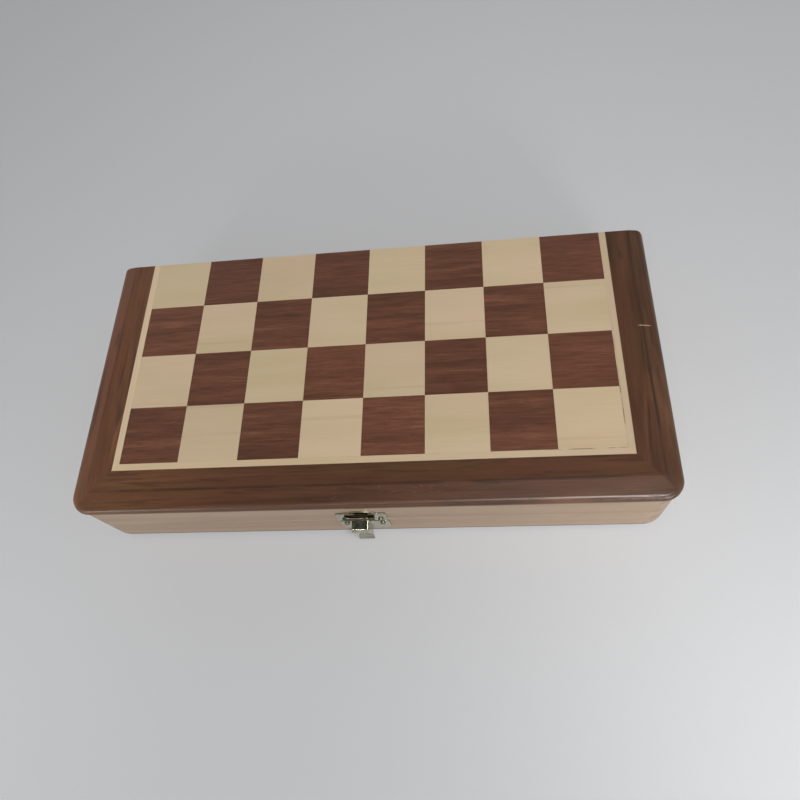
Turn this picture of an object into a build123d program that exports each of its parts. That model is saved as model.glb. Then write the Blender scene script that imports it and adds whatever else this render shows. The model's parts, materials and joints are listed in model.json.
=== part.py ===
"""A folding chess board: two shallow wooden trays, hinged at the fold, whose outer faces are the board.

The board stands closed, as a flat box. X runs along the fold, -Y is the latch side, +Y the hinge side and
Z is up. The origin is the centre of the face that it lies on. All sizes are in millimetres.
"""
from build123d import *
from math import acos, atan2, cos, hypot, sin
import os

os.makedirs("parts", exist_ok=True)

# Playing field
files = 8
ranks_per_half = 4
square = 31.6
fold_rank_depth = 30.6
tile_joint = 0.06
stringing_width = 3.5

# Walnut border round three sides of each half
side_border_width = 19.7
front_border_width = 21.8
front_bevel_width = 10.9
side_bevel_width = 7.8
bevel_drop = 1.1
edge_round = 2.6
bevel_corner_radius = 1.5
upper_border_corner_radius = 10.0
lower_border_corner_radius = 13.0

# Board thickness and tray
core_thickness = 2.8
tile_thickness = 1.2
border_lip = 5.0
wall_height = 18.5
wall_thickness = 11.0
finger_levels = 3
wall_corner_radius = 13.0
back_corner_radius = 4.0
rim_chamfer = 0.4
felt_thickness = 1.0
felt_margin = 0.3

# Two butt hinges let into the back rims
hinge_count = 2
hinge_spacing = 180.0
hinge_length = 20.0
leaf_depth = 7.2
leaf_thickness = 0.8
leaf_recess = 0.05
barrel_radius = 1.6
barrel_clearance = 0.3
middle_knuckle_length = 10.0
knuckle_gap = 0.15
hinge_pin_radius = 0.8
pin_clearance = 0.05
axis_behind_back = 0.2

# Countersunk hinge screws
screws_per_leaf = 2
screw_spacing = 13.0
screw_from_axis = 4.6
screw_head_radius = 1.5
screw_shank_radius = 0.75
screw_length = 7.5
screw_slot_width = 0.4
screw_slot_depth = 0.3
fastener_clearance = 0.05

# Latch: a plate with a barrel, a sprung tongue and a catch plate
latch_centre_x = -1.5
latch_sheet = 0.8
latch_plate_width = 25.2
latch_plate_height = 11.5
latch_plate_gap = 0.6
latch_corner_radius = 1.8
latch_arch_width = 17.0
latch_arch_height = 2.4
latch_barrel_length = 14.6
latch_barrel_radius = 1.5
latch_axis_out = 2.5
latch_axis_above_seam = 11.4
latch_pin_radius = 0.7
tongue_width = 8.0
tongue_sheet = 0.75
tongue_reach = 6.2
tongue_shoulder_drop = 2.6
tongue_nose_reach = 3.2
tongue_nose_drop = 19.0
tongue_lip_reach = 4.2
tongue_lip_drop = 23.0
tongue_bend_radius = 1.2
flange_thickness = 0.75
flange_behind_axis = 0.6
flange_heel_drop = 14.0
catch_width = 5.2
catch_clearance = 0.4
catch_height = 3.6
catch_below_seam = 3.2
nail_spacing = 18.4
nail_from_seam = 3.2
nail_head_radius = 1.3
nail_head_height = 1.0
nail_shank_radius = 0.6
nail_length = 6.5

# What follows from them
field_width = files * square
field_depth = fold_rank_depth + (ranks_per_half - 1) * square
box_width = field_width + 2 * (stringing_width + side_border_width)
box_depth = field_depth + stringing_width + front_border_width
board_thickness = core_thickness + tile_thickness
half_height = wall_height + board_thickness
seam_z = half_height
core_z = seam_z + wall_height
tile_z = core_z + core_thickness
top_z = tile_z + tile_thickness
front_y = -box_depth / 2
back_y = box_depth / 2
field_front_y = back_y - field_depth
finger_height = wall_height / finger_levels
seam_plane = Plane.XY.offset(seam_z)
hinge_axis_y = back_y + axis_behind_back
hinge_bore_radius = hinge_pin_radius + pin_clearance
overrun = 10.0


def save(piece, label):
    """Name a finished piece and write it as its own file."""
    piece.part.label = label
    export_step(piece.part, f"parts/{label}.step")


def save_both(piece, name):
    """Write a piece of the upper half, and its mirror image in the lower half."""
    save(piece, f"upper_{name}")
    with BuildPart() as lower_piece:
        mirror(piece.part, about=seam_plane)
    save(lower_piece, f"lower_{name}")


def outline(height, width, front, back, front_radius, back_radius=0.0):
    """A sketch of a rectangle whose front and back corners have their own radii."""
    with BuildSketch(Plane.XY.offset(height)) as sketch:
        with Locations((0, (front + back) / 2)):
            Rectangle(width, back - front)
        if back_radius > 0:
            fillet(sketch.vertices().group_by(Axis.Y)[-1], radius=back_radius)
        if front_radius > 0:
            fillet(sketch.vertices().group_by(Axis.Y)[0], radius=front_radius)
    return sketch


# Fasteners: their shapes, and the holes that they need

hinge_centres = [(i - (hinge_count - 1) / 2) * hinge_spacing for i in range(hinge_count)]
screw_offsets = [(i - (screws_per_leaf - 1) / 2) * screw_spacing for i in range(screws_per_leaf)]
screw_spots = [(x + dx, hinge_axis_y - screw_from_axis) for x in hinge_centres for dx in screw_offsets]
nail_spots = [latch_centre_x - nail_spacing / 2, latch_centre_x + nail_spacing / 2]
leaf_face_z = seam_z + leaf_recess
leaf_back_z = leaf_face_z + leaf_thickness


def revolved_screw(growth):
    """Screw that enters the upper rim from the seam, growth mm larger all round."""
    with BuildPart() as screw:
        with BuildSketch(Plane.XZ) as profile:
            with BuildLine():
                Polyline(
                    (0, leaf_face_z),
                    (screw_head_radius + growth, leaf_face_z),
                    (screw_shank_radius + growth, leaf_back_z),
                    (screw_shank_radius + growth, leaf_face_z + screw_length + growth),
                    (0, leaf_face_z + screw_length + growth),
                    close=True,
                )
            make_face()
        revolve(axis=Axis.Z)
    return screw


with BuildPart() as screw_holes:
    with Locations(*screw_spots):
        add(revolved_screw(fastener_clearance).part)

with BuildPart() as hinge_screws:
    with Locations(*screw_spots):
        add(revolved_screw(0).part)
    with BuildSketch(Plane.XY.offset(leaf_face_z)):
        with Locations(*screw_spots):
            Rectangle(2 * screw_head_radius, screw_slot_width)
    extrude(amount=screw_slot_depth, mode=Mode.SUBTRACT)

save_both(hinge_screws, "hinge_screws")


def nails(height, growth, with_heads):
    """Round-headed nails through a latch plate, in a row at one height."""
    with BuildPart() as row:
        with BuildSketch(Plane.XZ.offset(latch_sheet - front_y)):
            with Locations(*[(x, height) for x in nail_spots]):
                Circle(nail_shank_radius + growth)
        extrude(amount=-(nail_length + growth))
        if with_heads:
            with BuildSketch(Plane.XZ.offset(latch_sheet - front_y)):
                with Locations(*[(x, height) for x in nail_spots]):
                    Circle(nail_head_radius)
            extrude(amount=nail_head_height)
            crowns = row.edges().filter_by(GeomType.CIRCLE).group_by(Axis.Y)[0]
            fillet(crowns, radius=min(0.8 * nail_head_height, 0.5 * nail_head_radius))
    return row


upper_nail_z = seam_z + nail_from_seam
upper_nail_holes = nails(upper_nail_z, fastener_clearance, with_heads=False)
upper_nails = nails(upper_nail_z, 0, with_heads=True)
save(upper_nails, "latch_plate_nails")
with BuildPart() as lower_nails:
    mirror(upper_nails.part, about=seam_plane)
save(lower_nails, "latch_catch_nails")

# Walls: one ring with softened rims, shared out between four finger-jointed walls. The fingers run on
# across the seam, as in a box that is glued up first and sawn in two.

with BuildPart() as hinge_seats:
    with BuildSketch(seam_plane):
        with Locations(*[(x, hinge_axis_y - leaf_depth) for x in hinge_centres]):
            Rectangle(hinge_length + 2 * pin_clearance, leaf_depth, align=(Align.CENTER, Align.MIN))
    extrude(amount=leaf_recess + leaf_thickness)
    for hinge_x in hinge_centres:
        with BuildSketch(Plane.YZ.offset(hinge_x)):
            with Locations((hinge_axis_y, seam_z)):
                Circle(barrel_radius + barrel_clearance)
        extrude(amount=hinge_length / 2 + barrel_clearance, both=True)

with BuildPart() as wall_ring:
    extrude(outline(seam_z, box_width, front_y, back_y, wall_corner_radius, back_corner_radius).sketch,
            amount=wall_height)
    extrude(outline(seam_z, box_width - 2 * wall_thickness, front_y + wall_thickness,
                    back_y - wall_thickness, 0).sketch, amount=wall_height, mode=Mode.SUBTRACT)
    chamfer(wall_ring.edges().group_by(Axis.Z)[0], length=rim_chamfer)
    add(hinge_seats.part, mode=Mode.SUBTRACT)
    add(screw_holes.part, mode=Mode.SUBTRACT)
    add(upper_nail_holes.part, mode=Mode.SUBTRACT)


def jointed_wall(half, centre, runs_along_x, first_corner_level):
    """A wall that has the corners at every other finger level; the walls beside it have the rest."""
    length = box_width if runs_along_x else box_depth
    with BuildPart() as share:
        for level in range(finger_levels):
            has_corners = level % 2 == first_corner_level
            run = length if has_corners else length - 2 * wall_thickness
            with BuildSketch(Plane.XY.offset(seam_z + level * finger_height)):
                with Locations(centre):
                    Rectangle(*((run, wall_thickness) if runs_along_x else (wall_thickness, run)))
            extrude(amount=finger_height)
    with BuildPart() as wall:
        add(wall_ring.part)
        add(share.part, mode=Mode.INTERSECT)
        if half == "lower":
            mirror(about=seam_plane, mode=Mode.REPLACE)
    return wall


end_wall_x = (box_width - wall_thickness) / 2
long_wall_y = (box_depth - wall_thickness) / 2

for half, long_corners, end_corners in (("upper", 1, 0), ("lower", 0, 1)):
    save(jointed_wall(half, (0, -long_wall_y), True, long_corners), f"{half}_front_wall")
    save(jointed_wall(half, (0, long_wall_y), True, long_corners), f"{half}_back_wall")
    save(jointed_wall(half, (-end_wall_x, 0), False, end_corners), f"{half}_left_wall")
    save(jointed_wall(half, (end_wall_x, 0), False, end_corners), f"{half}_right_wall")

# Core panel, lying on the walls inside the border's lip

with BuildPart() as core_panel:
    extrude(outline(core_z, box_width - 2 * border_lip, front_y + border_lip, back_y, 0).sketch,
            amount=core_thickness)

save_both(core_panel, "core_panel")

# Border: a bevelled and rounded frame, open at the fold, mitred into three strips

bevel_z = top_z - bevel_drop
flat_front_y = front_y + front_bevel_width
flat_width = box_width - 2 * side_bevel_width


def border_frame(corner_radius):
    """The whole border of one half, with rounded front corners, where the upper half has it."""
    with BuildPart() as frame:
        extrude(outline(core_z, box_width, front_y, back_y + overrun, corner_radius).sketch,
                amount=bevel_z - core_z)
        foot = outline(bevel_z, box_width, front_y, back_y + overrun, corner_radius)
        crown = outline(top_z, flat_width, flat_front_y, back_y + overrun, bevel_corner_radius)
        loft([foot.sketch.face(), crown.sketch.face()], ruled=True)
        arris = frame.edges().filter_by_position(Axis.Z, bevel_z, bevel_z)
        arris = arris.filter_by(lambda edge: edge.center().Y < back_y + overrun / 2)
        fillet(arris, radius=min(edge_round, 0.9 * (bevel_z - core_z)))
        extrude(outline(core_z, box_width, front_y, back_y, corner_radius, back_corner_radius).sketch,
                amount=board_thickness, mode=Mode.INTERSECT)
        extrude(outline(core_z, box_width - 2 * border_lip, front_y + border_lip,
                        back_y + overrun, 0).sketch, amount=core_thickness, mode=Mode.SUBTRACT)
        extrude(outline(tile_z, field_width + 2 * stringing_width, field_front_y - stringing_width,
                        back_y + overrun, 0).sketch, amount=tile_thickness, mode=Mode.SUBTRACT)
    return frame


def mitre_share(outer_x, outer_y, inner_x, inner_y, strip):
    """The ground plan of the front, left or right strip of a frame with mitred front corners."""
    slope_x, slope_y = inner_x - outer_x, inner_y - outer_y
    far_x, far_y = outer_x - slope_x, outer_y - slope_y
    plans = {
        "front": [(-far_x, far_y), (far_x, far_y), (inner_x, inner_y), (-inner_x, inner_y)],
        "right": [(far_x, far_y), (far_x, back_y + overrun), (inner_x, back_y + overrun),
                  (inner_x, inner_y)],
    }
    plans["left"] = [(-x, y) for x, y in plans["right"]]
    with BuildSketch(Plane.XY.offset(core_z)) as plan:
        with BuildLine():
            Polyline(*plans[strip], close=True)
        make_face()
    return plan


border_inner_x = field_width / 2 + stringing_width
border_inner_y = field_front_y - stringing_width

for half, corner_radius in (("upper", upper_border_corner_radius), ("lower", lower_border_corner_radius)):
    whole_border = border_frame(corner_radius)
    for strip in ("front", "left", "right"):
        with BuildPart() as border_strip:
            add(whole_border.part)
            extrude(mitre_share(box_width / 2, front_y, border_inner_x, border_inner_y, strip).sketch,
                    amount=board_thickness, mode=Mode.INTERSECT)
            if half == "lower":
                mirror(about=seam_plane, mode=Mode.REPLACE)
        save(border_strip, f"{half}_{strip}_border")

# Stringing: three pale strips, mitred at the front corners

with BuildPart() as stringing_frame:
    extrude(outline(tile_z, 2 * border_inner_x, border_inner_y, back_y, 0).sketch, amount=tile_thickness)
    extrude(outline(tile_z, field_width, field_front_y, back_y + overrun, 0).sketch,
            amount=tile_thickness, mode=Mode.SUBTRACT)

for strip in ("front", "left", "right"):
    with BuildPart() as stringing:
        add(stringing_frame.part)
        extrude(mitre_share(border_inner_x, border_inner_y, field_width / 2, field_front_y, strip).sketch,
                amount=board_thickness, mode=Mode.INTERSECT)
    save_both(stringing, f"{strip}_stringing")

# Squares: veneered tiles with hairline joints; the chequer runs on across the fold


def tiles(is_dark_tile):
    """All the tiles of one half that the test picks, as separate solids in one node."""
    with BuildPart() as chosen:
        for rank in range(ranks_per_half):
            tile_depth = fold_rank_depth if rank == 0 else square
            tile_back_y = back_y if rank == 0 else back_y - fold_rank_depth - (rank - 1) * square
            spots = [((file + 0.5) * square - field_width / 2, tile_back_y - tile_depth / 2)
                     for file in range(files) if is_dark_tile(file, rank)]
            with BuildSketch(Plane.XY.offset(tile_z)):
                with Locations(*spots):
                    Rectangle(square - tile_joint, tile_depth - tile_joint)
            extrude(amount=tile_thickness)
    return chosen


odd_tiles = tiles(lambda file, rank: (file + rank) % 2 == 1)
even_tiles = tiles(lambda file, rank: (file + rank) % 2 == 0)
save(odd_tiles, "upper_dark_squares")
save(even_tiles, "upper_light_squares")

for upper_tiles, name in ((even_tiles, "lower_dark_squares"), (odd_tiles, "lower_light_squares")):
    with BuildPart() as lower_tiles:
        mirror(upper_tiles.part, about=seam_plane)
    save(lower_tiles, name)

# Felt lining on the floor of each tray

tray_width = box_width - 2 * wall_thickness
tray_depth = box_depth - 2 * wall_thickness

with BuildPart() as felt_lining:
    with BuildSketch(Plane.XY.offset(core_z - felt_thickness)):
        Rectangle(tray_width - 2 * felt_margin, tray_depth - 2 * felt_margin)
    extrude(amount=felt_thickness)

save_both(felt_lining, "felt_lining")

# Hinges: the upper leaf has the middle knuckle, the lower leaf the two outer ones

outer_knuckle_length = (hinge_length - middle_knuckle_length) / 2 - knuckle_gap
outer_knuckle_x = (hinge_length - outer_knuckle_length) / 2
upper_knuckles = [(0, middle_knuckle_length)]
lower_knuckles = [(-outer_knuckle_x, outer_knuckle_length), (outer_knuckle_x, outer_knuckle_length)]


def hinge_leaf(hinge_x, own_knuckles, other_knuckles):
    """A leaf let into the upper rim, with its own knuckles and notches for those of the other leaf."""
    with BuildPart() as leaf:
        with BuildSketch(Plane.XY.offset(leaf_face_z)):
            with Locations((hinge_x, hinge_axis_y - leaf_depth)):
                Rectangle(hinge_length, leaf_depth, align=(Align.CENTER, Align.MIN))
        extrude(amount=leaf_thickness)
        for offset, length in other_knuckles:
            with BuildSketch(Plane.YZ.offset(hinge_x + offset)):
                with Locations((hinge_axis_y, seam_z)):
                    Circle(barrel_radius + knuckle_gap)
            extrude(amount=length / 2 + knuckle_gap, both=True, mode=Mode.SUBTRACT)
        for offset, length in own_knuckles:
            with BuildSketch(Plane.YZ.offset(hinge_x + offset)):
                with Locations((hinge_axis_y, seam_z)):
                    Circle(barrel_radius)
            extrude(amount=length / 2, both=True)
        with BuildSketch(Plane.YZ.offset(hinge_x)):
            with Locations((hinge_axis_y, seam_z)):
                Circle(hinge_bore_radius)
        extrude(amount=hinge_length, both=True, mode=Mode.SUBTRACT)
        add(screw_holes.part, mode=Mode.SUBTRACT)
    return leaf


hinge_sides = ["left", "right"] if hinge_count == 2 else [f"hinge_{i + 1}" for i in range(hinge_count)]

for side, hinge_x in zip(hinge_sides, hinge_centres):
    save(hinge_leaf(hinge_x, upper_knuckles, lower_knuckles), f"{side}_hinge_upper_leaf")
    with BuildPart() as lower_leaf:
        mirror(hinge_leaf(hinge_x, lower_knuckles, upper_knuckles).part, about=seam_plane)
    save(lower_leaf, f"{side}_hinge_lower_leaf")
    with BuildPart() as hinge_pin:
        with BuildSketch(Plane.YZ.offset(hinge_x)):
            with Locations((hinge_axis_y, seam_z)):
                Circle(hinge_pin_radius)
        extrude(amount=hinge_length / 2, both=True)
    save(hinge_pin, f"{side}_hinge_pin")

# Latch plate on the upper front wall, with the two outer knuckles of the latch barrel

latch_face = Plane.XZ.offset(-front_y)
latch_axis = (front_y - latch_axis_out, seam_z + latch_axis_above_seam)
latch_bore_radius = latch_pin_radius + pin_clearance
side_knuckle_length = (latch_barrel_length - tongue_width) / 2 - knuckle_gap
side_knuckle_x = (latch_barrel_length - side_knuckle_length) / 2


def wing_plate():
    """The flat plate above the seam, arched in the middle."""
    low_z = seam_z + latch_plate_gap
    high_z = low_z + latch_plate_height
    with BuildPart() as plate:
        with BuildSketch(latch_face):
            with Locations((latch_centre_x, (low_z + high_z) / 2)):
                RectangleRounded(latch_plate_width, latch_plate_height, latch_corner_radius)
            with BuildLine():
                arch = ThreePointArc(
                    (latch_centre_x - latch_arch_width / 2, high_z),
                    (latch_centre_x, high_z + latch_arch_height),
                    (latch_centre_x + latch_arch_width / 2, high_z),
                )
                Line(arch @ 1, arch @ 0)
            make_face()
        extrude(amount=latch_sheet)
    return plate


with BuildPart() as latch_plate:
    add(wing_plate().part)
    for side in (-1, 1):
        with BuildSketch(Plane.YZ.offset(latch_centre_x + side * side_knuckle_x)):
            with Locations(latch_axis):
                Circle(latch_barrel_radius)
            with Locations((front_y, latch_axis[1] + latch_barrel_radius)):
                Rectangle(latch_axis_out, latch_sheet, align=(Align.MAX, Align.MAX))
        extrude(amount=side_knuckle_length / 2, both=True)
    with BuildSketch(Plane.YZ.offset(latch_centre_x)):
        with Locations(latch_axis):
            Circle(latch_bore_radius)
    extrude(amount=latch_barrel_length, both=True, mode=Mode.SUBTRACT)
    add(upper_nail_holes.part, mode=Mode.SUBTRACT)

save(latch_plate, "latch_plate")

with BuildPart() as latch_pin:
    with BuildSketch(Plane.YZ.offset(latch_centre_x)):
        with Locations(latch_axis):
            Circle(latch_pin_radius)
    extrude(amount=latch_barrel_length / 2, both=True)

save(latch_pin, "latch_pin")

# Latch tongue: a strip that leaves the barrel from below and bends down over the catch, with a nose under
# it, a finger lip and a flange at each side

axis_y, axis_z = latch_axis
nose = (axis_y - tongue_nose_reach, axis_z - tongue_nose_drop)
lip = (axis_y - tongue_lip_reach, axis_z - tongue_lip_drop)
shoulder = (axis_y - tongue_reach, axis_z - tongue_shoulder_drop)
curl_radius = (latch_barrel_radius + latch_bore_radius) / 2
leaving_angle = atan2(tongue_shoulder_drop, tongue_reach)
leaving_angle += acos(curl_radius / hypot(tongue_reach, tongue_shoulder_drop))
curl_end = (axis_y - curl_radius * cos(leaving_angle), axis_z - curl_radius * sin(leaving_angle))
heel_y = axis_y + flange_behind_axis

with BuildPart() as latch_tongue:
    with BuildSketch(Plane.YZ.offset(latch_centre_x)):
        with BuildLine():
            FilletPolyline(curl_end, shoulder, nose, lip, radius=tongue_bend_radius)
        trace(line_width=tongue_sheet)
        with Locations(latch_axis):
            Circle(latch_barrel_radius)
    extrude(amount=tongue_width / 2, both=True)
    for side in (-1, 1):
        with BuildSketch(Plane.YZ.offset(latch_centre_x + side * (tongue_width - flange_thickness) / 2)):
            with BuildLine():
                FilletPolyline(curl_end, shoulder, nose, radius=tongue_bend_radius)
                Polyline(nose, (heel_y, axis_z - flange_heel_drop), (heel_y, curl_end[1]), curl_end)
            make_face()
        extrude(amount=flange_thickness / 2, both=True)
    with BuildSketch(Plane.YZ.offset(latch_centre_x)):
        with Locations(latch_axis):
            Circle(latch_bore_radius)
    extrude(amount=tongue_width, both=True, mode=Mode.SUBTRACT)

save(latch_tongue, "latch_tongue")

# Catch plate on the lower front wall: the mirrored wing plate with a rounded bump for the tongue's nose

catch_out = latch_axis_out + tongue_nose_reach - tongue_sheet / 2 - catch_clearance
catch_top_z = seam_z - catch_below_seam

with BuildPart() as latch_catch:
    mirror(wing_plate().part, about=seam_plane)
    with BuildSketch(Plane.YZ.offset(latch_centre_x)) as bump_section:
        with Locations((front_y, catch_top_z - catch_height)):
            Rectangle(catch_out, catch_height, align=(Align.MAX, Align.MIN))
        fillet(bump_section.vertices().group_by(Axis.X)[0], radius=0.3 * catch_height)
    extrude(amount=catch_width / 2, both=True)
    mirror(upper_nail_holes.part, about=seam_plane, mode=Mode.SUBTRACT)

save(latch_catch, "latch_catch")
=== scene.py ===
"""Looks of the folding chess board: veneers, walnut border, pale walls, green felt and nickel fittings.

The board lies closed. X runs along the fold, -Y is the latch side and Z is up. All sizes are in metres.
"""
import json
import math

import bmesh
import bpy
from mathutils import Matrix, Vector, noise


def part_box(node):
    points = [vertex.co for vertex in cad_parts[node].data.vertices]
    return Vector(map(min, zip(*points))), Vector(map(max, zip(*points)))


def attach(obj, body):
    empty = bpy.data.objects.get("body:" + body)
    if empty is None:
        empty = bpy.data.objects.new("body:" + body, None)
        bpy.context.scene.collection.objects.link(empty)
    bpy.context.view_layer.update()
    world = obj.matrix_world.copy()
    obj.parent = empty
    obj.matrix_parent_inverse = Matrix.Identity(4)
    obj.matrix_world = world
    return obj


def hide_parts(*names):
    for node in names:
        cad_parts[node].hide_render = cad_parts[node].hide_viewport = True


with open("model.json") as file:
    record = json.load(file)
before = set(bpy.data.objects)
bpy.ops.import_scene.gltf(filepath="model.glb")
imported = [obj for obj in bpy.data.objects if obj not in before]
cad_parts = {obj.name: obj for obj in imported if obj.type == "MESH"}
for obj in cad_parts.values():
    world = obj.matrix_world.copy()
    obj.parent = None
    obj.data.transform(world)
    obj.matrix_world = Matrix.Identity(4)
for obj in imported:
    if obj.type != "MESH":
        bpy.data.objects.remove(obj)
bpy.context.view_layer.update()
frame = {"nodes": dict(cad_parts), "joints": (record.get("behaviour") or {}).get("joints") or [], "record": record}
nodes = frame["nodes"]
body_of = {name: body for body, names in frame["record"]["behaviour"]["bodies"].items() for name in names}

# Places read from the frame

MM = 0.001
half_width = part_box("upper_right_wall")[1].x
front_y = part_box("upper_front_wall")[0].y
back_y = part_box("upper_back_wall")[1].y
seam_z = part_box("upper_front_wall")[0].z
panel_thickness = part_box("upper_core_panel")[1].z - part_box("upper_core_panel")[0].z
field_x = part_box("upper_right_stringing")[0].x
field_front_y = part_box("upper_front_stringing")[1].y
squares_across = 8
square = 2 * field_x / squares_across
core_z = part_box("upper_core_panel")[0].z
front_bevel_width = 10.9 * MM
side_bevel_width = 7.8 * MM
flat_front_y = front_y + front_bevel_width
flat_x = half_width - side_bevel_width
latch_axis = Vector(next(j["pos_m"] for j in frame["joints"] if j["name"] == "latch_hinge"))
front_corner_radius = 13 * MM
back_corner_radius = 4 * MM


class Finish:
    """A material with its shader, and short ways to add texture nodes to it."""

    def __init__(self, name):
        self.material = bpy.data.materials.new(name)
        self.material.use_nodes = True
        self.tree = self.material.node_tree
        self.shader = self.tree.nodes["Principled BSDF"]
        self.place = self.node("ShaderNodeTexCoord").outputs["Object"]

    def node(self, kind, inputs=None, **settings):
        """Add a node. Each input is a plain value or another node's output."""
        made = self.tree.nodes.new(kind)
        for setting, value in settings.items():
            setattr(made, setting, value)
        for socket, value in (inputs or {}).items():
            if isinstance(value, bpy.types.NodeSocket):
                self.tree.links.new(value, made.inputs[socket])
            else:
                made.inputs[socket].default_value = value
        return made

    def maths(self, operation, *terms):
        """The result of a maths operation on numbers or outputs."""
        return self.node("ShaderNodeMath", dict(enumerate(terms)), operation=operation).outputs[0]

    def apart(self, first, second):
        """How far apart two numbers are, never below 0."""
        return self.maths("ABSOLUTE", self.maths("SUBTRACT", first, second))

    def blend(self, share, first, second):
        """A colour between two colours: the second one where share is 1."""
        made = self.node("ShaderNodeMix", {0: share, 6: first, 7: second}, data_type="RGBA")
        return made.outputs[2]

    def stain(self, colour, tone, share, strength=1.0):
        """A colour with a plain tone laid over it, at the given strength where share is 1."""
        if strength != 1.0:
            share = self.maths("MULTIPLY", share, strength)
        return self.blend(share, colour, (*tone, 1))

    def shade(self, colour, value):
        """A colour made lighter or darker: value 1 leaves it as it is."""
        grey = self.node("ShaderNodeCombineColor", {0: value, 1: value, 2: value}).outputs[0]
        made = self.node("ShaderNodeMix", {0: 1.0, 6: colour, 7: grey}, data_type="RGBA",
                         blend_type="MULTIPLY")
        return made.outputs[2]

    def between(self, value, low, high, to_low=0.0, to_high=1.0):
        """Value carried from low..high to another range, and held inside it."""
        made = self.node("ShaderNodeMapRange", {0: value, 1: low, 2: high, 3: to_low, 4: to_high})
        return made.outputs[0]

    def smooth_step(self, value, low, high):
        """0 at low, 1 at high, with a soft start and end."""
        made = self.node("ShaderNodeMapRange", {0: value, 1: low, 2: high},
                         interpolation_type="SMOOTHSTEP")
        return made.outputs[0]

    def axis(self, letter, place=None):
        """One coordinate of a place, in metres."""
        return self.node("ShaderNodeSeparateXYZ", {0: place or self.place}).outputs[letter]

    def stretched(self, along, grain, across, place=None, shift=(0, 0, 0)):
        """Coordinates for a pattern along one axis, in features per metre along it and across it."""
        scale = [grain if letter == along else across for letter in "XYZ"]
        made = self.node("ShaderNodeMapping", {"Vector": place or self.place, "Scale": scale,
                                               "Location": shift})
        return made.outputs[0]

    def clouds(self, place, scale=1.0, detail=3.0, rough=0.55, wander=0.0):
        """Soft noise, about 0.5."""
        made = self.node("ShaderNodeTexNoise", {"Vector": place, "Scale": scale, "Detail": detail,
                                                "Roughness": rough, "Distortion": wander})
        return made.outputs["Fac"]

    def tones(self, value, stops):
        """Colours laid along a value: stops are (value, colour)."""
        made = self.node("ShaderNodeValToRGB", {0: value})
        ramp = made.color_ramp
        while len(ramp.elements) < len(stops):
            ramp.elements.new(0.5)
        for element, (position, colour) in zip(ramp.elements, stops):
            element.position = position
            element.color = (*colour, 1)
        return made.outputs[0]

    def colour(self, value):
        self.tree.links.new(value, self.shader.inputs["Base Color"])

    def gloss(self, roughness):
        self.tree.links.new(roughness, self.shader.inputs["Roughness"])

    def relief(self, height, depth, strength=1.0):
        """Raise or sink the surface: height is 0 to 1, depth is in metres."""
        made = self.node("ShaderNodeBump", {"Height": height, "Distance": depth, "Strength": strength})
        self.tree.links.new(made.outputs[0], self.shader.inputs["Normal"])

    def fixed(self, **values):
        """Plain numbers on the shader's own sockets, with _ for a space in their names."""
        for name, value in values.items():
            self.shader.inputs[name.replace("_", " ")].default_value = value


# Wood finishes

scratch_middle = (142.6 * MM, 15.0 * MM)
scratch_length = 7.4 * MM
scratch_slope = -0.06
front_pale_end = (-115 * MM, -70 * MM, 1.45)
left_pale_end = (-65 * MM, -15 * MM, 1.25)
stringing_x = (-125 * MM, 125 * MM)
stringing_brightness = (1.12, 0.92)
veneer_shift = 3.0

# Tones laid over a finish, as linear red, green and blue

pore_shadow = (0.028, 0.013, 0.008)
olive_brown = (0.078, 0.040, 0.014)
fox_brown = (0.098, 0.034, 0.015)
stroke_brown = (0.032, 0.014, 0.006)
crease_dark_tone = (0.032, 0.014, 0.008)
bared_wood = (0.42, 0.33, 0.22)
red_veneer = (0.136, 0.047, 0.028)
pink_blush = (0.545, 0.395, 0.280)
growth_brown = (0.30, 0.20, 0.11)
joint_dirt = (0.14, 0.09, 0.05)
fleck_brown = (0.27, 0.165, 0.10)
glue_brown = (0.10, 0.06, 0.035)
# Painted dark reflection and shade for the latch barrel
barrel_dark_reflection_tone = (0.07, 0.045, 0.03)


def pores(finish, along, place, share, length=300, width=3400):
    """Short dark dashes along the grain: 1 in a pore, 0 outside."""
    dashes = finish.clouds(finish.stretched(along, length, width, place), detail=1.0, rough=0.4)
    return finish.smooth_step(dashes, 1 - share, 1 - share + 0.07)


def squares_of(finish):
    """A random colour for each square of the playing field, whose three channels are random numbers."""
    from_front = finish.maths("SUBTRACT", finish.axis("Y"), field_front_y)
    file = finish.maths("FLOOR", finish.maths("DIVIDE", finish.axis("X"), square))
    rank = finish.maths("FLOOR", finish.maths("DIVIDE", from_front, square))
    half = finish.maths("GREATER_THAN", finish.axis("Z"), seam_z)
    cell = finish.node("ShaderNodeCombineXYZ", {0: file, 1: rank, 2: half}).outputs[0]
    return finish.node("ShaderNodeTexWhiteNoise", {0: cell}, noise_dimensions="3D").outputs["Color"]


def own_veneer(finish, chance):
    """Each square's own piece of veneer: coordinates shifted by a random distance."""
    shift = finish.node("ShaderNodeVectorMath", {0: chance, "Scale": veneer_shift}, operation="SCALE")
    moved = finish.node("ShaderNodeVectorMath", {0: finish.place, 1: shift.outputs[0]}, operation="ADD")
    return moved.outputs[0]


def crease(finish, along):
    """A darker line where the border's flat top meets its bevel: 1 on the line, broken here and there."""
    if along == "X":
        off_line = finish.apart(finish.axis("Y"), flat_front_y)
    else:
        off_line = finish.apart(finish.maths("ABSOLUTE", finish.axis("X")), flat_x)
    line = finish.smooth_step(off_line, 1.1 * MM, 0.2 * MM)
    breaks = finish.clouds(finish.stretched(along, 28, 60, shift=(0.4, 0.4, 0)), detail=2.0)
    return finish.maths("MULTIPLY", line, finish.smooth_step(breaks, 0.36, 0.54))


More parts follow.
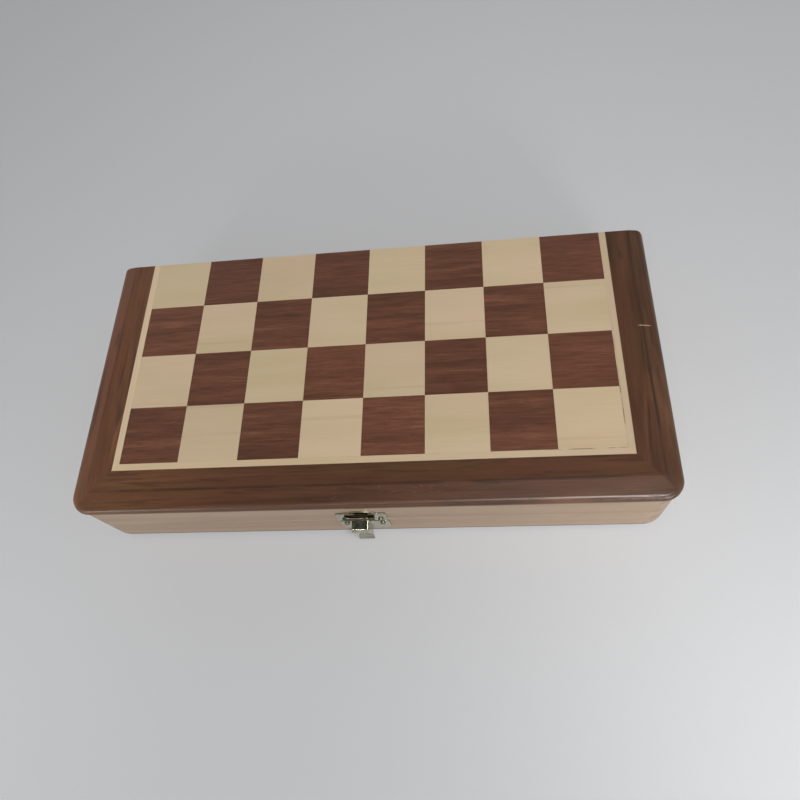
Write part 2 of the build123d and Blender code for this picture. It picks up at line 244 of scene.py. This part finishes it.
def scratch(finish):
    """A pale scratch across the right border."""
    along = finish.maths("SUBTRACT", finish.axis("X"), scratch_middle[0])
    across = finish.maths("SUBTRACT", finish.axis("Y"), scratch_middle[1])
    across = finish.maths("SUBTRACT", across, finish.maths("MULTIPLY", along, scratch_slope))
    width = finish.smooth_step(finish.maths("ABSOLUTE", across), 0.42 * MM, 0.12 * MM)
    length = finish.smooth_step(finish.maths("ABSOLUTE", along), scratch_length / 2, scratch_length / 4)
    on_top = finish.maths("GREATER_THAN", finish.axis("Z"), seam_z)
    return finish.maths("MULTIPLY", finish.maths("MULTIPLY", width, length), on_top)


def walnut_lacquer(finish, along, place, colour, fibre, pore_share):
    """Pores and a satin coat over a walnut colour."""
    pore = pores(finish, along, place, pore_share)
    finish.colour(finish.stain(colour, pore_shadow, pore, 0.65))
    finish.gloss(finish.between(fibre, 0.3, 0.7, 0.31, 0.38))
    height = finish.maths("SUBTRACT", finish.maths("MULTIPLY", fibre, 0.5), pore)
    finish.relief(height, 0.03 * MM, 0.6)
    return finish


def walnut(name, along, value=1.0, redness=0.6, crease_darkening=0.75, pale_end=None):
    """Border strips: brown in broad soft bands, with a few dark wandering strokes.

    A pale end is given as the place where it ends, the place where it starts to fade and its brightness.
    """
    finish = Finish(name)
    figure = finish.clouds(finish.stretched(along, 9, 110), detail=4.0, rough=0.6, wander=1.1)
    colour = finish.tones(figure, [
        (0.32, (0.040, 0.018, 0.008)),
        (0.45, (0.066, 0.028, 0.012)),
        (0.57, (0.092, 0.038, 0.017)),
        (0.70, (0.140, 0.062, 0.030)),
    ])
    olive = finish.clouds(finish.stretched(along, 16, 70, shift=(0.3, 0.5, 0)), detail=2.0)
    colour = finish.stain(colour, olive_brown, finish.between(olive, 0.50, 0.66, 0.0, 0.7))
    warmth = finish.clouds(finish.stretched(along, 6, 40, shift=(0.7, 0.2, 0)), detail=2.0)
    colour = finish.stain(colour, fox_brown, finish.between(warmth, 0.38, 0.68, 0.0, redness))
    strokes = finish.clouds(finish.stretched(along, 26, 420, shift=(0.1, 0.9, 0)), detail=2.0, wander=1.2)
    colour = finish.stain(colour, stroke_brown, finish.between(strokes, 0.56, 0.66, 0.0, 0.55))
    fibre = finish.clouds(finish.stretched(along, 45, 1500), detail=4.0, rough=0.7)
    colour = finish.shade(colour, finish.between(fibre, 0.25, 0.75, 0.84 * value, 1.16 * value))
    # A darker line along the crease where the flat top meets the bevel
    colour = finish.stain(colour, crease_dark_tone, crease(finish, along), crease_darkening)
    if pale_end:
        colour = finish.shade(colour, finish.between(finish.axis(along), *pale_end, 1.0))
    if along == "Y":
        colour = finish.stain(colour, bared_wood, scratch(finish), 0.8)
    return walnut_lacquer(finish, along, finish.place, colour, fibre, 0.33)


def dark_veneer(name):
    """Dark squares: walnut veneer, each square its own piece, with short fine dashes along the grain."""
    finish = Finish(name)
    chance = squares_of(finish)
    place = own_veneer(finish, chance)
    figure = finish.clouds(finish.stretched("X", 9, 190, place), detail=4.0, rough=0.6, wander=0.3)
    colour = finish.tones(figure, [
        (0.30, (0.073, 0.030, 0.015)),
        (0.44, (0.103, 0.039, 0.020)),
        (0.56, (0.126, 0.048, 0.025)),
        (0.72, (0.165, 0.068, 0.037)),
    ])
    warmth = finish.clouds(finish.stretched("X", 4, 32, place), detail=2.0)
    colour = finish.stain(colour, red_veneer, finish.between(warmth, 0.35, 0.7, 0.0, 0.4))
    fibre = finish.clouds(finish.stretched("X", 75, 1100, place), detail=3.0, rough=0.65)
    colour = finish.shade(colour, finish.between(fibre, 0.25, 0.75, 0.64, 1.36))
    value = finish.node("ShaderNodeSeparateColor", {0: chance}).outputs[0]
    colour = finish.shade(colour, finish.between(value, 0, 1, 0.86, 1.14))
    return walnut_lacquer(finish, "X", place, colour, fibre, 0.34)


def maple(name, along="X", cut_in_squares=True):
    """Pale close-grained veneer with a few faint growth lines, under satin lacquer."""
    finish = Finish(name)
    chance = squares_of(finish) if cut_in_squares else None
    place = own_veneer(finish, chance) if cut_in_squares else finish.place
    figure = finish.clouds(finish.stretched(along, 6, 45, place), detail=2.0, rough=0.5, wander=0.5)
    colour = finish.tones(figure, [
        (0.34, (0.478, 0.372, 0.228)),
        (0.50, (0.505, 0.395, 0.252)),
        (0.66, (0.530, 0.412, 0.272)),
    ])
    blush = finish.clouds(finish.stretched(along, 12, 18, place), detail=2.0)
    colour = finish.stain(colour, pink_blush, finish.between(blush, 0.42, 0.68, 0.0, 0.5))
    growth = finish.clouds(finish.stretched(along, 4, 260, place), detail=1.0, wander=0.2)
    colour = finish.stain(colour, growth_brown, finish.between(growth, 0.66, 0.74, 0.0, 0.16))
    fibre = finish.clouds(finish.stretched(along, 60, 1700, place), detail=3.0, rough=0.6)
    colour = finish.shade(colour, finish.between(fibre, 0.25, 0.75, 0.97, 1.03))
    if cut_in_squares:
        value = finish.node("ShaderNodeSeparateColor", {0: chance}).outputs[1]
        colour = finish.shade(colour, finish.between(value, 0, 1, 0.96, 1.04))
    else:
        brightness = finish.between(finish.axis("X"), *stringing_x, *stringing_brightness)
        colour = finish.shade(colour, brightness)
        colour = finish.stain(colour, joint_dirt, open_joint(finish, along), 0.85)
    finish.colour(colour)
    finish.gloss(finish.between(fibre, 0.3, 0.7, 0.34, 0.44))
    finish.relief(fibre, 0.015 * MM, 0.4)
    finish.fixed(Specular_IOR_Level=0.42)
    return finish


def open_joint(finish, along):
    """Dirt in the joint of stringing and squares near the right front corner, broken along its length."""
    if along == "X":
        off_joint = finish.apart(finish.axis("Y"), field_front_y)
        ends = field_x - 1.6 * square, field_x - 0.8 * square
    else:
        off_joint = finish.apart(finish.axis("X"), field_x)
        ends = field_front_y + 2.6 * square, field_front_y + 0.9 * square
    near_corner = finish.smooth_step(finish.axis(along), *ends)
    line = finish.smooth_step(off_joint, 0.6 * MM, 0.15 * MM)
    breaks = finish.clouds(finish.stretched(along, 90, 20), detail=3.0)
    gaps = finish.maths("MULTIPLY", near_corner, finish.smooth_step(breaks, 0.44, 0.58))
    return finish.maths("MULTIPLY", line, gaps)


def end_grain_share(finish, along):
    """How much of a wall's surface looks out along its own grain, as at its ends and rounded corners."""
    if along == "X":
        end = finish.maths("ABSOLUTE", finish.axis("X"))
        return finish.smooth_step(end, half_width - front_corner_radius / 2, half_width)
    front = finish.smooth_step(finish.axis("Y"), front_y + front_corner_radius / 2, front_y)
    back = finish.smooth_step(finish.axis("Y"), back_y - back_corner_radius / 2, back_y)
    return finish.maths("MAXIMUM", front, back)


def glue_line(finish):
    """The joint between wall and border: 1 in a hair's breadth at the wall's edge."""
    off_joint = finish.maths("SUBTRACT", core_z - seam_z, height_from_seam(finish))
    return finish.smooth_step(off_joint, 0.5 * MM, 0.15 * MM)


def height_from_seam(finish):
    return finish.apart(finish.axis("Z"), seam_z)


def beech(name, along):
    """Pale pinkish box wood with soft bands and short flecks; its cut ends are browner."""
    finish = Finish(name)
    figure = finish.clouds(finish.stretched(along, 5, 110), detail=3.0, rough=0.5, wander=0.5)
    colour = finish.tones(figure, [
        (0.32, (0.300, 0.212, 0.146)),
        (0.50, (0.334, 0.241, 0.169)),
        (0.68, (0.368, 0.270, 0.193)),
    ])
    fibre = finish.clouds(finish.stretched(along, 50, 1600), detail=3.0, rough=0.65)
    colour = finish.shade(colour, finish.between(fibre, 0.25, 0.75, 0.94, 1.06))
    # Lighter within 5 mm of where the wall meets the border
    lighter_near_border = finish.between(height_from_seam(finish), core_z - seam_z - 5 * MM, core_z - seam_z, 1.0, 1.09)
    colour = finish.shade(colour, lighter_near_border)
    fleck = pores(finish, along, finish.place, 0.33, length=420, width=2400)
    colour = finish.stain(colour, fleck_brown, fleck, 0.22)
    colour = finish.stain(colour, glue_brown, glue_line(finish), 0.7)
    dots = finish.clouds(finish.place, scale=2300.0, detail=2.0)
    end_tone = finish.tones(dots, [(0.36, (0.17, 0.115, 0.075)), (0.62, (0.30, 0.215, 0.145))])
    end_share = finish.maths("MULTIPLY", end_grain_share(finish, along), 0.75)
    colour = finish.blend(end_share, colour, end_tone)
    finish.colour(colour)
    finish.gloss(finish.between(fibre, 0.3, 0.7, 0.46, 0.6))
    finish.relief(finish.maths("SUBTRACT", fibre, fleck), 0.04 * MM, 0.5)
    finish.fixed(Specular_IOR_Level=0.35)
    return finish


def plywood(name):
    """Three plies seen at the panel's edge; the middle one shows its end grain."""
    finish = Finish(name)
    from_foot = finish.maths("SUBTRACT", height_from_seam(finish), core_z - seam_z)
    off_middle = finish.apart(from_foot, panel_thickness / 2)
    middle = finish.maths("LESS_THAN", off_middle, panel_thickness / 6)
    streak = finish.clouds(finish.stretched("X", 10, 500), detail=3.0)
    dots = finish.clouds(finish.place, scale=1800.0, detail=2.0)
    long_grain = finish.tones(streak, [(0.35, (0.36, 0.25, 0.15)), (0.65, (0.47, 0.35, 0.22))])
    cut_grain = finish.tones(dots, [(0.35, (0.20, 0.12, 0.07)), (0.65, (0.33, 0.22, 0.14))])
    finish.colour(finish.blend(middle, long_grain, cut_grain))
    finish.relief(dots, 0.03 * MM, 0.5)
    finish.fixed(Roughness=0.75)
    return finish


# Felt and metal finishes


def felt(name):
    """Matted wool: tangled fibres in two greens, with a soft sheen."""
    finish = Finish(name)
    tangle = finish.clouds(finish.place, scale=900.0, detail=6.0, rough=0.7, wander=1.2)
    broad = finish.clouds(finish.place, scale=35.0, detail=3.0)
    colour = finish.tones(tangle, [(0.34, (0.010, 0.048, 0.026)), (0.66, (0.030, 0.115, 0.060))])
    finish.colour(finish.shade(colour, finish.between(broad, 0.3, 0.7, 0.88, 1.12)))
    finish.relief(tangle, 0.25 * MM, 0.8)
    finish.fixed(Roughness=0.95, Sheen_Weight=0.35, Sheen_Roughness=0.4, Specular_IOR_Level=0.2)
    return finish


def barrel_share(finish):
    """1 on the latch barrel, 0 elsewhere on the latch."""
    out = finish.maths("SUBTRACT", finish.axis("Y"), latch_axis.y)
    up = finish.maths("SUBTRACT", finish.axis("Z"), latch_axis.z)
    squared = finish.maths("ADD", finish.maths("MULTIPLY", out, out), finish.maths("MULTIPLY", up, up))
    return finish.smooth_step(finish.maths("SQRT", squared), 2.0 * MM, 1.5 * MM)


def nickel(name, waviness, barrel_painted_dark=False):
    """Bright plating that has dulled a little, wavy as pressed sheet is, with fine scuffs."""
    finish = Finish(name)
    dulling = finish.clouds(finish.place, scale=260.0, detail=4.0, rough=0.6)
    waves = finish.clouds(finish.place, scale=320.0, detail=1.0)
    scuffs = finish.clouds(finish.stretched("X", 900, 5200), detail=3.0)
    colour = finish.tones(dulling, [(0.35, (0.35, 0.34, 0.25)), (0.62, (0.49, 0.48, 0.37))])
    # The barrel is painted dark brown: a painted dark reflection and shade in its curl
    if barrel_painted_dark:
        colour = finish.stain(colour, barrel_dark_reflection_tone, barrel_share(finish), 0.85)
    finish.colour(colour)
    finish.gloss(finish.between(dulling, 0.35, 0.65, 0.09, 0.18))
    height = finish.maths("ADD", waves, finish.maths("MULTIPLY", scuffs, 0.04))
    finish.relief(height, waviness, 0.8)
    finish.fixed(Metallic=1.0)
    return finish


def dull_nail(name):
    """Nail heads whose plating has gone dull and greenish, with a dark colour that is partly a painted dark
    reflection.
    """
    finish = Finish(name)
    spots = finish.clouds(finish.place, scale=900.0, detail=3.0)
    finish.colour(finish.tones(spots, [(0.35, (0.13, 0.13, 0.08)), (0.65, (0.26, 0.26, 0.18))]))
    finish.relief(spots, 0.02 * MM, 0.5)
    finish.fixed(Metallic=1.0, Roughness=0.42)
    return finish


finishes = {
    "front_border": walnut("walnut_along_x", "X", pale_end=front_pale_end),
    "left_border": walnut("walnut_along_y_left", "Y", 1.38, redness=1.0, crease_darkening=0.25,
                          pale_end=left_pale_end),
    "right_border": walnut("walnut_along_y_right", "Y", 0.9),
    "dark_squares": dark_veneer("dark_veneer"),
    "light_squares": maple("pale_veneer"),
    "stringing_x": maple("stringing_along_x", "X", cut_in_squares=False),
    "stringing_y": maple("stringing_along_y", "Y", cut_in_squares=False),
    "beech_x": beech("beech_along_x", "X"),
    "beech_y": beech("beech_along_y", "Y"),
    "plywood": plywood("plywood"),
    "felt": felt("green_felt"),
    "hinge_nickel": nickel("hinge_nickel", 0.03 * MM),
    "plate_nails": dull_nail("nails_dull_and_painted_dark"),
    "latch_nickel": nickel("latch_nickel", 0.12 * MM, barrel_painted_dark=True),
}


def finish_of(name):
    """The finish of a CAD node: wooden strips take the grain that runs along them."""
    kind = name.split("_", 1)[1]
    across_board = kind.startswith(("front", "back"))
    if kind.endswith("stringing"):
        return finishes["stringing_x" if across_board else "stringing_y"]
    if kind.endswith("wall"):
        return finishes["beech_x" if across_board else "beech_y"]
    kind = {"core_panel": "plywood", "felt_lining": "felt", "catch_nails": "plate_nails"}.get(kind, kind)
    return finishes.get(kind, finishes["latch_nickel" if name.startswith("latch") else "hinge_nickel"])


for name, node in nodes.items():
    if not node.material_slots:
        node.data.materials.append(None)
    for slot in node.material_slots:
        slot.material = finish_of(name).material


def finished_piece(shape, name, finish, replaced, smooth_angle=35):
    """Turn a bmesh into a piece that stands for a CAD node and rides on that node's body."""
    bmesh.ops.recalc_face_normals(shape, faces=shape.faces)
    mesh = bpy.data.meshes.new(name)
    shape.to_mesh(mesh)
    shape.free()
    piece = bpy.data.objects.new(name, mesh)
    bpy.context.scene.collection.objects.link(piece)
    mesh.materials.append(finish.material)
    mesh.shade_smooth()
    mesh.set_sharp_from_angle(angle=math.radians(smooth_angle))
    flats = piece.modifiers.new("flat_faces_stay_flat", "WEIGHTED_NORMAL")
    flats.keep_sharp = True
    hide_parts(replaced)
    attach(piece, body_of[replaced])
    return piece


# Metal fittings with their edges eased

sharp_angle = math.radians(40)
merge_distance = 0.002 * MM


def ease_edges(shape, width):
    """Round every sharp edge of a shape."""
    edges = [edge for edge in shape.edges
             if len(edge.link_faces) == 2 and edge.calc_face_angle() > sharp_angle]
    bmesh.ops.bevel(shape, geom=edges, offset=width, offset_type="OFFSET", affect="EDGES", segments=2,
                    profile=0.5, material=-1, clamp_overlap=True)


def eased(node_name, name, width):
    """A copy of a metal fitting whose sharp edges are rounded."""
    shape = bmesh.new()
    shape.from_mesh(nodes[node_name].data)
    bmesh.ops.remove_doubles(shape, verts=shape.verts, dist=merge_distance)
    bmesh.ops.dissolve_limit(shape, angle_limit=math.radians(1), verts=shape.verts, edges=shape.edges)
    ease_edges(shape, width)
    return finished_piece(shape, name, finish_of(node_name), node_name)


leaf_edge = 0.08 * MM
plate_edge = 0.15 * MM
pin_edge = 0.2 * MM
tongue_edge = 0.12 * MM

for side in ("left", "right"):
    for half in ("upper", "lower"):
        eased(f"{side}_hinge_{half}_leaf", f"{side}_{half}_leaf_eased", leaf_edge)
    eased(f"{side}_hinge_pin", f"{side}_hinge_pin_eased", pin_edge)
eased("latch_plate", "latch_plate_eased", plate_edge)
eased("latch_catch", "latch_catch_eased", plate_edge)
eased("latch_pin", "latch_pin_eased", pin_edge)

# Latch tongue: one strip of sheet, curled round its pin and bent down over the catch, with a flange at
# each side. Its places are seen from the latch axis.

tongue_sheet = 0.75 * MM
tongue_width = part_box("latch_tongue")[1].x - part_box("latch_tongue")[0].x
curl_radius = 1.125 * MM
curl_turn = math.radians(275)
bend_reach = 1.3 * MM
flange_inset = 0.03 * MM
shoulder = Vector((0, -6.2, -2.6)) * MM
nose = Vector((0, -3.2, -19.0)) * MM
lip = Vector((0, -4.2, -23.0)) * MM
heel_foot = Vector((0, 0.6, -14.0)) * MM


def round_corners(shape, corners):
    bmesh.ops.bevel(shape, geom=corners, offset=bend_reach, offset_type="OFFSET", affect="VERTICES",
                    segments=6, profile=0.5, material=-1)


def tongue_strip(shape, leaving):
    """The strip's side view is a wire; it is widened, and thickened to both sides."""
    curl_start = leaving + curl_turn
    start = shape.verts.new(Vector((0, math.cos(curl_start), math.sin(curl_start))) * curl_radius)
    curled = bmesh.ops.spin(shape, geom=[start], axis=(1, 0, 0), cent=(0, 0, 0), angle=-curl_turn,
                            steps=28)
    last = next(v for v in curled["geom_last"] if isinstance(v, bmesh.types.BMVert))
    corners = []
    for point in (shoulder, nose, lip):
        corner = shape.verts.new(point)
        shape.edges.new((last, corner))
        corners.append(corner)
        last = corner
    round_corners(shape, corners[:-1])
    widened = bmesh.ops.extrude_edge_only(shape, edges=list(shape.edges))
    moved = [v for v in widened["geom"] if isinstance(v, bmesh.types.BMVert)]
    bmesh.ops.translate(shape, verts=moved, vec=(tongue_width, 0, 0))
    bmesh.ops.recalc_face_normals(shape, faces=shape.faces)
    shape.normal_update()
    for vert in shape.verts:
        vert.co += vert.normal * tongue_sheet / 2
    bmesh.ops.solidify(shape, geom=list(shape.faces), thickness=tongue_sheet)


def tongue_flange(shape, leaving, left_x):
    """A flat web from the strip's middle back to the heel, cut to the strip's own side view."""
    curl_end = Vector((0, math.cos(leaving), math.sin(leaving))) * curl_radius
    heel_top = Vector((0, heel_foot.y, curl_end.z))
    verts = [shape.verts.new(point) for point in (curl_end, shoulder, nose, heel_foot, heel_top)]
    shape.faces.new(verts)
    round_corners(shape, [verts[1]])
    web = verts[0].link_faces[0]
    bmesh.ops.translate(shape, verts=list(web.verts), vec=(left_x, 0, 0))
    pulled = bmesh.ops.extrude_face_region(shape, geom=[web])
    far_side = [v for v in pulled["geom"] if isinstance(v, bmesh.types.BMVert)]
    bmesh.ops.translate(shape, verts=far_side, vec=(tongue_sheet, 0, 0))


def latch_tongue():
    leaving = math.atan2(shoulder.z, shoulder.y) + math.acos(curl_radius / shoulder.length)
    shape = bmesh.new()
    tongue_strip(shape, leaving)
    for left_x in (flange_inset, tongue_width - tongue_sheet - flange_inset):
        tongue_flange(shape, leaving, left_x)
    bmesh.ops.translate(shape, verts=list(shape.verts), vec=latch_axis - Vector((tongue_width / 2, 0, 0)))
    bmesh.ops.recalc_face_normals(shape, faces=shape.faces)
    ease_edges(shape, tongue_edge)
    return shape


finished_piece(latch_tongue(), "latch_tongue_strip", finishes["latch_nickel"], "latch_tongue")

# Felt linings: cloth cut to the tray floor, with a slightly uneven face and soft edges

felt_grid = {"x_segments": 96, "y_segments": 46}
felt_mean_share = 0.9
felt_uneven_share = 0.1
felt_bumps_per_metre = 60
felt_edge = 0.5 * MM
felt_edge_share = 0.6


def felt_lining(half):
    low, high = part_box(f"{half}_felt_lining")
    size = high - low
    facing = 1 if half == "lower" else -1
    shape = bmesh.new()
    bmesh.ops.create_grid(shape, size=0.5, **felt_grid)
    bmesh.ops.scale(shape, verts=shape.verts, vec=(size.x, size.y, 1))
    rest_z = low.z if half == "lower" else high.z
    middle = (low + high) / 2
    bmesh.ops.translate(shape, verts=shape.verts, vec=(middle.x, middle.y, rest_z))
    raised = bmesh.ops.extrude_face_region(shape, geom=list(shape.faces))
    top = [v for v in raised["geom"] if isinstance(v, bmesh.types.BMVert)]
    for vert in top:
        to_edge = min(size.x / 2 - abs(vert.co.x - middle.x), size.y / 2 - abs(vert.co.y - middle.y))
        share = felt_edge_share
        if to_edge > felt_edge:
            share = felt_mean_share + felt_uneven_share * noise.noise(vert.co * felt_bumps_per_metre)
        vert.co.z += facing * size.z * share
    piece = finished_piece(shape, f"{half}_felt_cloth", finishes["felt"], f"{half}_felt_lining", 60)


for half in ("upper", "lower"):
    felt_lining(half)

# Floor, light and camera

table_half_side = 6
horizon_strength = 0.98
overhead_strength = 0.03
overhead_starts = 0.95
backdrop_strength = 0.8


def light_table():
    """Plain pale table top that the board lies on."""
    shape = bmesh.new()
    bmesh.ops.create_grid(shape, x_segments=1, y_segments=1, size=table_half_side)
    mesh = bpy.data.meshes.new("table_top")
    shape.to_mesh(mesh)
    shape.free()
    table = bpy.data.objects.new("table_top", mesh)
    bpy.context.scene.collection.objects.link(table)
    finish = Finish("table_top")
    finish.fixed(Base_Color=(0.535, 0.54, 0.55, 1), Roughness=0.6, Specular_IOR_Level=0.2)
    mesh.materials.append(finish.material)


def soft_light(name, place, target, size, power, beam=180):
    """A rectangular soft box; beam is how wide its light fans out, in degrees."""
    lamp = bpy.data.lights.new(name, "AREA")
    lamp.shape = "RECTANGLE"
    lamp.size, lamp.size_y = size
    lamp.energy = power
    lamp.spread = math.radians(beam)
    box = bpy.data.objects.new(name, lamp)
    box.location = place
    box.rotation_euler = (Vector(target) - Vector(place)).to_track_quat("-Z", "Y").to_euler()
    bpy.context.scene.collection.objects.link(box)


def room_light():
    """Even light from all round, dim overhead; the camera sees a plain pale backdrop."""
    world = bpy.data.worlds.new("studio")
    bpy.context.scene.world = world
    world.use_nodes = True
    tree = world.node_tree
    add = tree.nodes.new
    link = tree.links.new
    background = tree.nodes["Background"]
    direction = add("ShaderNodeTexCoord")
    parts = add("ShaderNodeSeparateXYZ")
    link(direction.outputs["Generated"], parts.inputs[0])
    height = add("ShaderNodeMapRange")
    link(parts.outputs["Z"], height.inputs["Value"])
    height.inputs["From Max"].default_value = overhead_starts
    height.inputs["To Min"].default_value = horizon_strength
    height.inputs["To Max"].default_value = overhead_strength
    seen = add("ShaderNodeLightPath")
    strength = add("ShaderNodeMix")
    link(seen.outputs["Is Camera Ray"], strength.inputs[0])
    link(height.outputs[0], strength.inputs[2])
    strength.inputs[3].default_value = backdrop_strength
    link(strength.outputs[0], background.inputs["Strength"])
    background.inputs["Color"].default_value = (1, 1, 1, 1)


light_table()
room_light()
soft_light("overhead_soft_box", (0.37, -0.50, 1.43), (0, 0, 0), (0.30, 0.30), 14.5)
soft_light("small_lamp", (-0.35, -0.95, 1.30), (0, 0, 0), (0.05, 0.05), 1.0)
soft_light("right_soft_box", (0.36, -0.50, 0.18), (0.20, -0.14, 0.0), (0.20, 0.14), 0.12, 40)
soft_light("left_soft_box", (-0.45, -0.50, 0.20), (-0.24, -0.14, 0.0), (0.20, 0.20), 0.06, 40)

focal_pixels = 670
image_pixels = 800
camera_place = (0.06411, -0.16669, 0.34648)
camera_right = Vector((0.99004, 0.01727, -0.13971)).normalized()
camera_forward = Vector((-0.13340, 0.43216, -0.89188)).normalized()
camera_up = camera_right.cross(camera_forward)
camera_turn = Matrix((camera_right, camera_up, -camera_forward)).transposed().to_4x4()

camera_data = bpy.data.cameras.new("camera")
camera_data.sensor_width = 36
camera_data.lens = focal_pixels / image_pixels * camera_data.sensor_width
camera_data.clip_start = 0.01
camera = bpy.data.objects.new("camera", camera_data)
camera.matrix_world = Matrix.Translation(camera_place) @ camera_turn
bpy.context.scene.collection.objects.link(camera)
bpy.context.scene.camera = camera

bpy.context.scene.view_settings.view_transform = "Standard"
